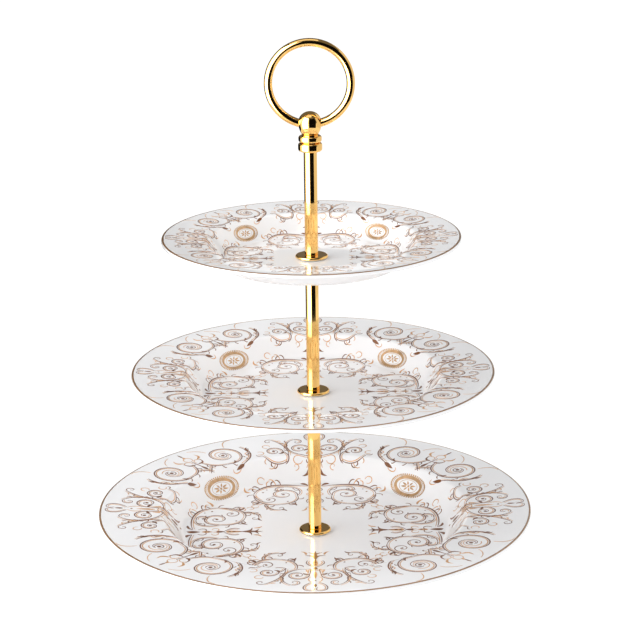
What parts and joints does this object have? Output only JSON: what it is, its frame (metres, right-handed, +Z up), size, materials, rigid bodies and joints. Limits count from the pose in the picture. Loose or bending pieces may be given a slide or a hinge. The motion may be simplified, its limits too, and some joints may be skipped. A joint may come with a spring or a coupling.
{
  "type": "tiered cake stand",
  "caption": "Tiered cake stand: rimmed porcelain plates with scrollwork clamped on a slim gold-plated stem with a carrying ring.",
  "frame": {"origin": "middle of the large plate's foot ring, on the surface that the stand rests on", "axes": "+Z up along the stem; the carrying ring lies in the XZ plane; -Y is the front"},
  "size_m": [0.27, 0.27, 0.3195],
  "materials": {
    "porcelain": "clear glossy glaze over printed scrollwork",
    "gold_plate": "polished gold plating",
    "soft_washer": "soft translucent washer"
  },
  "bodies": {
    "base": {"plate_large": "porcelain"},
    "stem": {"base_screw": "gold_plate", "large_under_disc": "gold_plate", "large_under_gasket": "soft_washer", "large_top_gasket": "soft_washer", "large_top_disc": "gold_plate", "lower_rod": "gold_plate", "lower_stud": "gold_plate", "medium_under_disc": "gold_plate", "medium_under_gasket": "soft_washer", "medium_top_gasket": "soft_washer", "medium_top_disc": "gold_plate", "middle_rod": "gold_plate", "middle_stud": "gold_plate", "small_under_disc": "gold_plate", "small_under_gasket": "soft_washer", "small_top_gasket": "soft_washer", "small_top_disc": "gold_plate", "upper_rod": "gold_plate"},
    "medium_tier": {"plate_medium": "porcelain"},
    "small_tier": {"plate_small": "porcelain"},
    "handle_thread": {"top_stud": "gold_plate"},
    "handle": {"handle_knob": "gold_plate", "handle_ring": "gold_plate"}
  },
  "joints": [
    {"name": "stem_turn", "type": "hinge", "parent": "base", "child": "stem", "pos_m": [0, 0, 0.0065], "axis": [0, 0, 1], "continuous": true},
    {"name": "medium_plate_turn", "type": "hinge", "parent": "stem", "child": "medium_tier", "pos_m": [0, 0, 0.0984], "axis": [0, 0, 1], "continuous": true},
    {"name": "small_plate_turn", "type": "hinge", "parent": "stem", "child": "small_tier", "pos_m": [0, 0, 0.1843], "axis": [0, 0, 1], "continuous": true},
    {"name": "handle_unscrew", "type": "hinge", "parent": "stem", "child": "handle_thread", "pos_m": [0, 0, 0.2517], "axis": [0, 0, 1], "range_deg": [0, 2880]},
    {"name": "handle_rise", "type": "slide", "parent": "handle_thread", "child": "handle", "axis": [0, 0, 1], "range_m": [0, 0.008]}
  ],
  "couplings": [
    {"joint": "handle_unscrew", "follows": "handle_rise", "rad_per_m": 6283.2}
  ]
}
